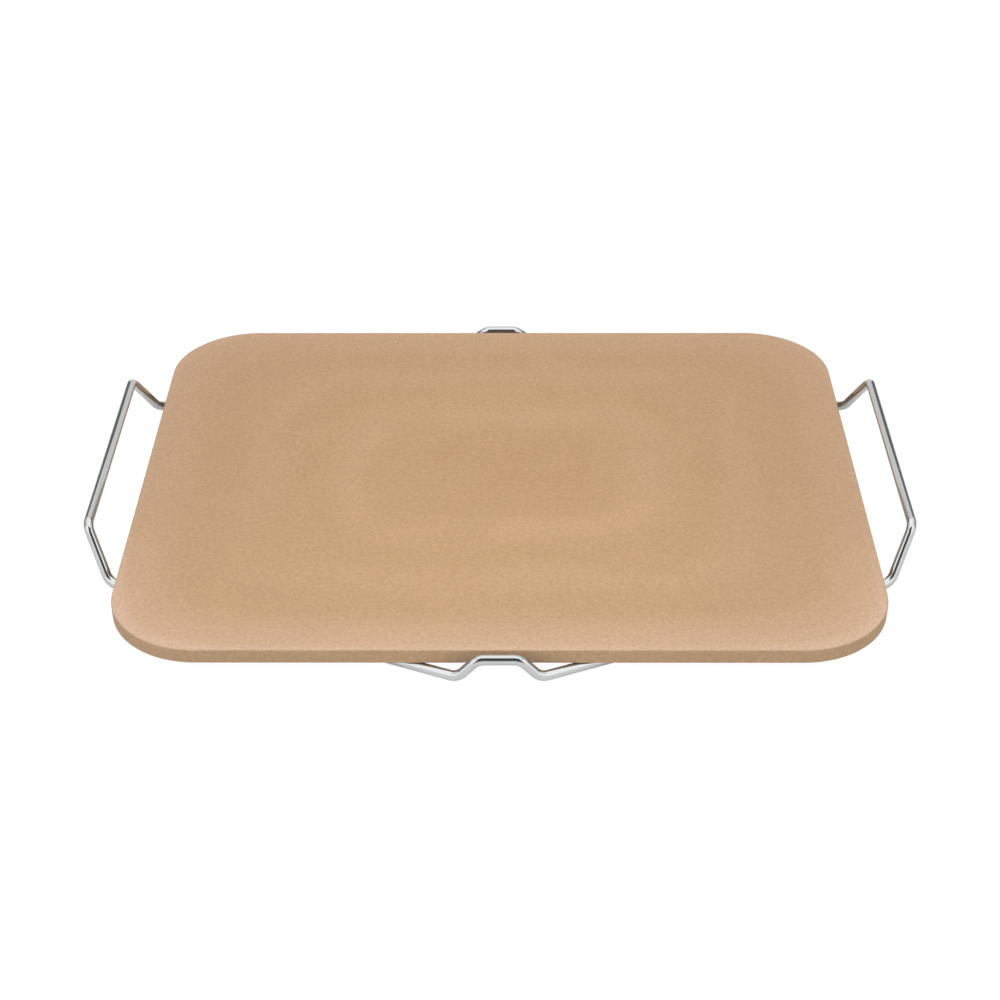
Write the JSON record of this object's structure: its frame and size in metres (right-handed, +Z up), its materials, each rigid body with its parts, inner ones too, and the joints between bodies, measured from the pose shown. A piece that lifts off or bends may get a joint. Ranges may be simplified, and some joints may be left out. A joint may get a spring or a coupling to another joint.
{
  "type": "pizza stone",
  "caption": "Rectangular baking stone with round corners, lying loose on a low chromed wire rack with a raised handle at each end and a stop tab front and rear.",
  "frame": {"origin": "on the table, under the middle of the stone and rack", "axes": "+Z up, +X along the stone's longer side towards one handle, +Y towards the rear stop tab"},
  "size_m": [0.4186, 0.3228, 0.0303],
  "materials": {
    "fired_clay": "matte",
    "chromed_wire": "polished",
    "chromed_weld": "polished"
  },
  "bodies": {
    "rack": {"rack_wire_front": "chromed_wire", "rack_wire_rear": "chromed_wire", "rack_weld_front_left": "chromed_weld", "rack_weld_rear_right": "chromed_weld"},
    "stone": {"baking_stone": "fired_clay"}
  },
  "joints": [
    {"name": "stone_lift", "type": "slide", "parent": "rack", "child": "stone", "axis": [0, 0, 1], "range_m": [0, 0.06]}
  ]
}
